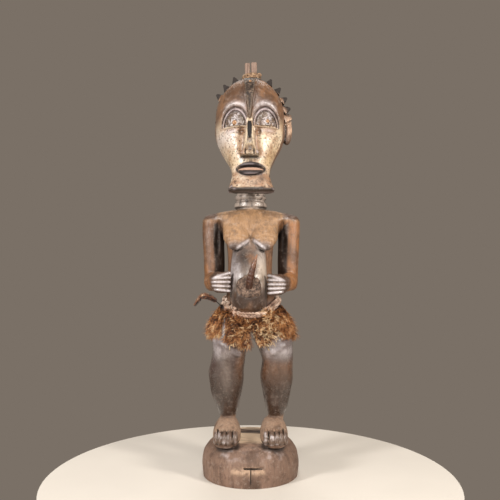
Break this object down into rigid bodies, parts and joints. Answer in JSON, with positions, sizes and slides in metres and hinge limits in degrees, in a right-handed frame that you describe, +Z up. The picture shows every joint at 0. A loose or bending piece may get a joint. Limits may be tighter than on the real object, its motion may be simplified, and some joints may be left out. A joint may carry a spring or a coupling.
{
  "type": "nkisi figure",
  "caption": "Standing carved wooden power figure on a low round base, with a mask-like face, knobbed coiffure, horn in the belly and a corded fur and feather skirt.",
  "frame": {"origin": "middle of the flat underside of the round base", "axes": "+Z up along the figure, the face looks to -Y, +X is to the right of a viewer in front"},
  "size_m": [0.207, 0.2085, 0.817],
  "materials": {
    "carved_wood": "hand-carved, dark oily patina, pale cream face",
    "head_paste": "dry resin paste",
    "pale_stub": "dry, bare",
    "dark_iron": "darkened sheet, worn edges",
    "copper_tack": "dull copper",
    "dark_horn": "satin, ringed",
    "belly_paste": "hard cracked paste",
    "plant_cord": "twisted plant fibre",
    "brown_fur": "coarse fur and feathers",
    "straw_feathers": "pale and brown feathers",
    "brown_feather": "single feather"
  },
  "bodies": {
    "root": {"figure": "carved_wood", "crown_collar": "head_paste", "crown_stub_left": "pale_stub", "crown_stub_right": "pale_stub", "forehead_strip": "dark_iron", "forehead_tack": "copper_tack", "nose_strip": "dark_iron", "pupil_left": "copper_tack", "pupil_right": "copper_tack", "belly_horn": "dark_horn", "belly_charge": "belly_paste", "waist_cord": "plant_cord", "skirt_left": "brown_fur", "skirt_front_left": "brown_fur", "skirt_front_right": "straw_feathers", "skirt_right": "brown_fur", "skirt_back": "brown_fur", "loose_feather": "brown_feather"}
  },
  "joints": []
}
